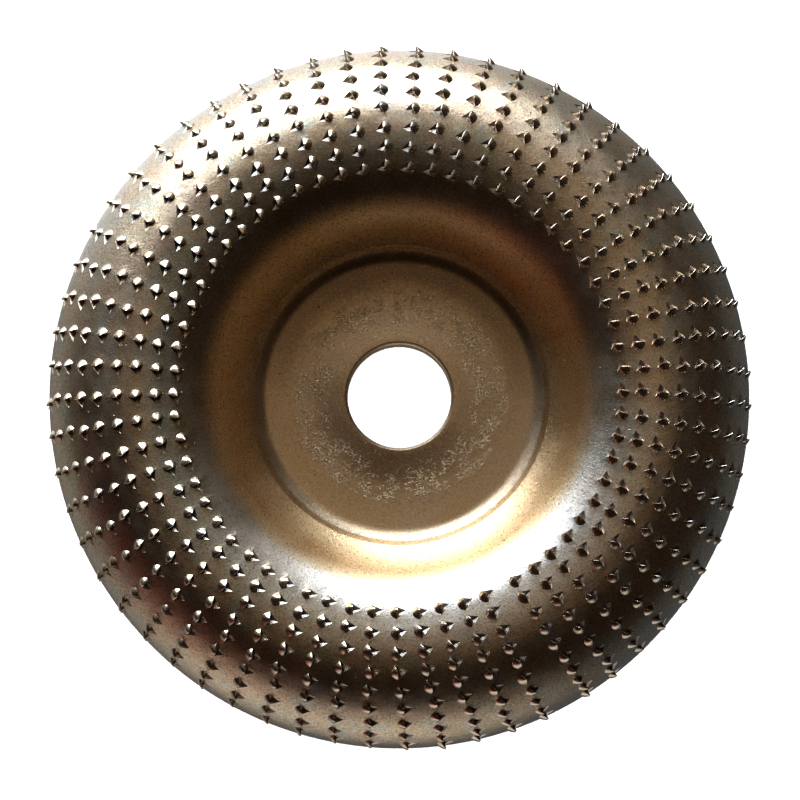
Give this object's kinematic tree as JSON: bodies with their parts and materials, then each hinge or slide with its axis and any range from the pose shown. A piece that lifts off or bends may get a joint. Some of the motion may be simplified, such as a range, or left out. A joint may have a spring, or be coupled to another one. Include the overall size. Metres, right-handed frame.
{
  "type": "carving disc",
  "caption": "Dished steel carving disc for an angle grinder, with rings of raised rasp teeth over its rounded rim and a plain centre bore.",
  "frame": {"origin": "on the spin axis, in the plane where the rim rests", "axes": "+Z along the spin axis out of the toothed front, +X and +Y across the disc"},
  "size_m": [0.1089, 0.1089, 0.0173],
  "materials": {
    "shell_steel": "hardened steel with a satin bronze heat tint",
    "tooth_steel": "bare punched steel with bright cutting edges"
  },
  "bodies": {
    "root": {"disc_shell": "shell_steel", "tooth_ring_01": "tooth_steel", "tooth_ring_02": "tooth_steel", "tooth_ring_03": "tooth_steel", "tooth_ring_04": "tooth_steel", "tooth_ring_05": "tooth_steel", "tooth_ring_06": "tooth_steel", "tooth_ring_07": "tooth_steel", "tooth_ring_08": "tooth_steel", "tooth_ring_09": "tooth_steel", "tooth_ring_10": "tooth_steel"}
  },
  "joints": []
}
